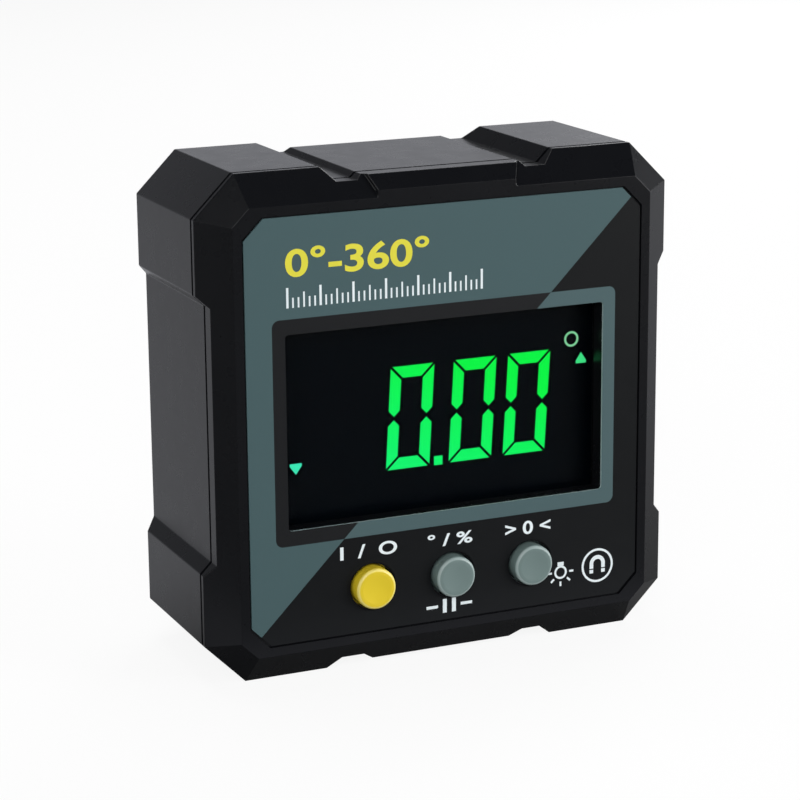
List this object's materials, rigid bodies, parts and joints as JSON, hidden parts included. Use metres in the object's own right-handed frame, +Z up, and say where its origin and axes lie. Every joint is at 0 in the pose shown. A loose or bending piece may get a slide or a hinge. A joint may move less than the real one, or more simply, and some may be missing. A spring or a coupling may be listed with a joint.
{
  "type": "inclinometer",
  "caption": "Square pocket inclinometer with a lit segment display, push buttons, magnets in its feet and a sliding battery door.",
  "frame": {"origin": "in the plane of the two feet, under the middle of the gauge's width and of its depth with the buttons", "axes": "+Z up, -Y the way the display faces, +X to the right seen from the front"},
  "size_m": [0.06, 0.0282, 0.06],
  "materials": {
    "case_plastic": "fine moulded texture, near black",
    "label_film": "satin printed film, slate teal and near black",
    "window_pane": "clear and polished",
    "gasket_foam": "closed-cell foam",
    "polarizer_film": "tinted film",
    "display_glass": "polished",
    "tray_plastic": "moulded, off-white",
    "strip_rubber": "silicone with fine dark contact lines",
    "light_guide": "milky acrylic",
    "light_chip": "moulded, pale",
    "board_laminate": "green solder mask",
    "chip_epoxy": "moulded epoxy",
    "crystal_can_metal": "pressed can",
    "capacitor_ceramic": "fired ceramic with tinned ends",
    "switch_plastic": "moulded",
    "plunger_plastic": "moulded",
    "screw_steel": "zinc plated",
    "cell_jacket": "printed foil jacket over a plated can",
    "contact_metal": "nickel plated sheet",
    "magnet_metal": "nickel plated",
    "button_yellow": "satin moulded",
    "button_grey": "satin moulded",
    "segment_light": "lit green",
    "print_ink": "screen-printed ink",
    "print_yellow": "screen-printed ink"
  },
  "bodies": {
    "case": {"front_cover": "case_plastic", "rear_cover": "case_plastic", "face_label": "label_film", "display_window": "window_pane", "display_gasket": "gasket_foam", "front_polarizer": "polarizer_film", "lcd_front_glass": "display_glass", "lcd_rear_glass": "display_glass", "rear_polarizer": "polarizer_film", "lcd_frame": "tray_plastic", "contact_strip": "strip_rubber", "backlight_panel": "light_guide", "backlight_leds": "light_chip", "main_board": "board_laminate", "accelerometer_chip": "chip_epoxy", "controller_chip": "chip_epoxy", "crystal_can": "crystal_can_metal", "chip_capacitors": "capacitor_ceramic", "switch_bodies": "switch_plastic", "case_screws": "screw_steel", "board_screws": "screw_steel", "battery_left": "cell_jacket", "battery_right": "cell_jacket", "positive_terminal": "contact_metal", "negative_terminal": "contact_metal", "battery_bridge": "contact_metal", "base_magnets": "magnet_metal"},
    "power_button": {"power_button": "button_yellow", "power_plunger": "plunger_plastic"},
    "hold_button": {"hold_button": "button_grey", "hold_plunger": "plunger_plastic"},
    "zero_button": {"zero_button": "button_grey", "zero_plunger": "plunger_plastic"},
    "battery_door": {"battery_door": "case_plastic"}
  },
  "joints": [
    {"name": "power_press", "type": "slide", "parent": "case", "child": "power_button", "axis": [0, 1, 0], "range_m": [0, 0.0004], "stiffness_N_per_m": 400},
    {"name": "hold_press", "type": "slide", "parent": "case", "child": "hold_button", "axis": [0, 1, 0], "range_m": [0, 0.0004], "stiffness_N_per_m": 400},
    {"name": "zero_press", "type": "slide", "parent": "case", "child": "zero_button", "axis": [0, 1, 0], "range_m": [0, 0.0004], "stiffness_N_per_m": 400},
    {"name": "battery_door_slide", "type": "slide", "parent": "case", "child": "battery_door", "axis": [0, 0, 1], "range_m": [0, 0.057]}
  ]
}
